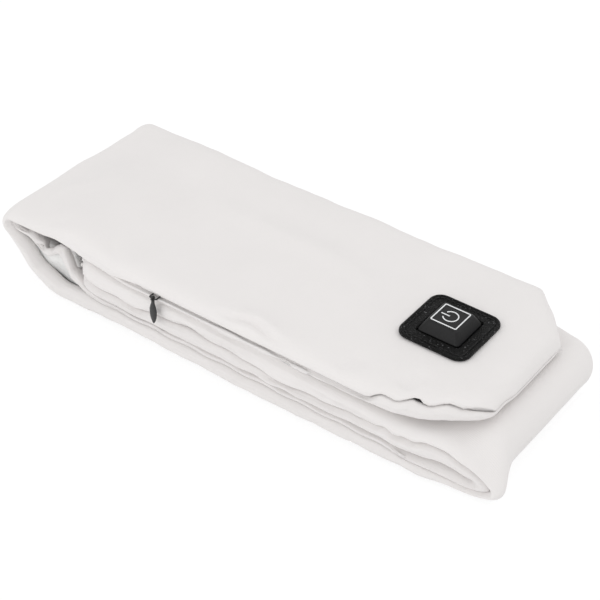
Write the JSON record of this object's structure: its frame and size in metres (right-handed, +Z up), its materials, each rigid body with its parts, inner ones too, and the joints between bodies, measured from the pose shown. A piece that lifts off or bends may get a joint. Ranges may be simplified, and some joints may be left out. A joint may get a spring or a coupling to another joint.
{
  "type": "heated neck scarf",
  "caption": "Padded cloth neck scarf folded in three, with a heating pad inside, a zipped battery pocket and a push-button control plate.",
  "frame": {"origin": "middle of the folded scarf's bounding box, on the surface it lies on", "axes": "+X along the folded scarf towards the control end, -Y towards the zip, +Z up through the three layers"},
  "size_m": [0.2716, 0.1084, 0.0472],
  "materials": {
    "ivory_cloth": "smooth matt knitted fleece, off-white",
    "lining_cloth": "matt lining cloth, off-white",
    "wadding": "loose white filling",
    "black_rubber": "matt black soft moulding",
    "black_plastic": "satin black moulding",
    "black_thread": "black sewing thread",
    "icon_white": "printed pale lines",
    "milky_plastic": "milky, lets light through",
    "board_green": "green circuit board",
    "chip_black": "moulded black",
    "switch_steel": "plain steel",
    "led_clear": "clear lamp body",
    "zip_black": "black lacquer",
    "zip_white": "off-white nylon",
    "pad_fleece": "thin felt",
    "carbon_wire": "dark jacketed carbon fibre",
    "red_lead": "red jacket",
    "black_lead": "black jacket"
  },
  "bodies": {
    "root": {"cover_face_panel": "ivory_cloth", "cover_lining_panel": "lining_cloth", "wadding_face_layer": "wadding", "wadding_lining_layer": "wadding", "controller_flange": "black_rubber", "controller_stitching": "black_thread", "controller_back": "black_plastic", "circuit_board": "board_green", "tact_switch": "switch_steel", "led_low": "led_clear", "led_middle": "led_clear", "led_high": "led_clear", "control_chip": "chip_black", "power_transistor": "chip_black", "zip_tape_upper": "zip_white", "zip_tape_lower": "zip_white", "zip_coil_upper": "zip_white", "zip_coil_lower": "zip_white", "zip_stop_closed": "zip_white", "zip_stop_open": "zip_white", "pocket_bag": "lining_cloth", "lead_gland": "black_rubber", "heater_carrier": "pad_fleece", "heater_cover": "pad_fleece", "heating_wire": "carbon_wire", "thermal_cutoff": "switch_steel", "splice_sleeve_a": "milky_plastic", "splice_sleeve_b": "milky_plastic", "heater_lead_a": "red_lead", "heater_lead_b": "black_lead", "supply_lead": "black_lead"},
    "slider": {"zip_slider": "zip_black"},
    "pull": {"zip_pull": "zip_black"},
    "button": {"button_cap": "black_plastic", "icon_frame": "icon_white", "icon_ring": "icon_white", "icon_bar": "icon_white", "light_diffuser": "milky_plastic"},
    "plunger": {"switch_plunger": "black_plastic"}
  },
  "joints": [
    {"name": "button_press", "type": "slide", "parent": "root", "child": "button", "axis": [0, 0, -1], "range_m": [0, 0.0007], "stiffness_N_per_m": 700},
    {"name": "plunger_press", "type": "slide", "parent": "root", "child": "plunger", "axis": [0, 0, -1], "range_m": [0, 0.0007]},
    {"name": "zip_slide", "type": "slide", "parent": "root", "child": "slider", "axis": [1, 0, 0], "range_m": [0, 0.105]},
    {"name": "pull_swing", "type": "hinge", "parent": "slider", "child": "pull", "pos_m": [-0.03905, -0.05298, 0.0337], "axis": [-1, 0, 0], "range_deg": [0, 150]}
  ],
  "couplings": [
    {"joint": "plunger_press", "follows": "button_press", "ratio": 1}
  ]
}
